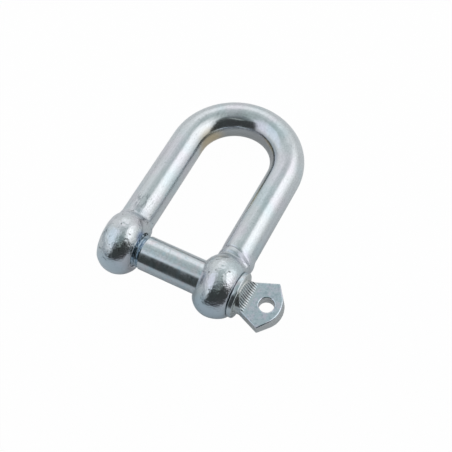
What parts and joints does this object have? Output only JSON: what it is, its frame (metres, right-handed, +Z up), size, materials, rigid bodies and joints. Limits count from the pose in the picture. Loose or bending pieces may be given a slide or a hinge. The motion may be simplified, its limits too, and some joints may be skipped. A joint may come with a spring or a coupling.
{
  "type": "chain joining shackle",
  "caption": "U-shaped forged dee shackle with two eyes and a removable screw pin whose flattened head has a round hole, for joining chain.",
  "frame": {"origin": "on the pin's axis, midway between the two eyes", "axes": "+X along the pin towards its head, +Y from the pin towards the bow's crown, +Z up, with the shackle lying on its eyes and crown"},
  "size_m": [0.0539, 0.0673, 0.018],
  "materials": {
    "bow_zinc": "bright zinc plate over a forged surface",
    "pin_zinc": "bright zinc plate over a turned and pressed surface"
  },
  "bodies": {
    "bow": {"bow": "bow_zinc"},
    "pin": {"screw_pin": "pin_zinc"}
  },
  "joints": [
    {"name": "pin_withdraw", "type": "slide", "parent": "bow", "child": "pin", "axis": [1, 0, 0], "range_m": [0, 0.042]}
  ]
}
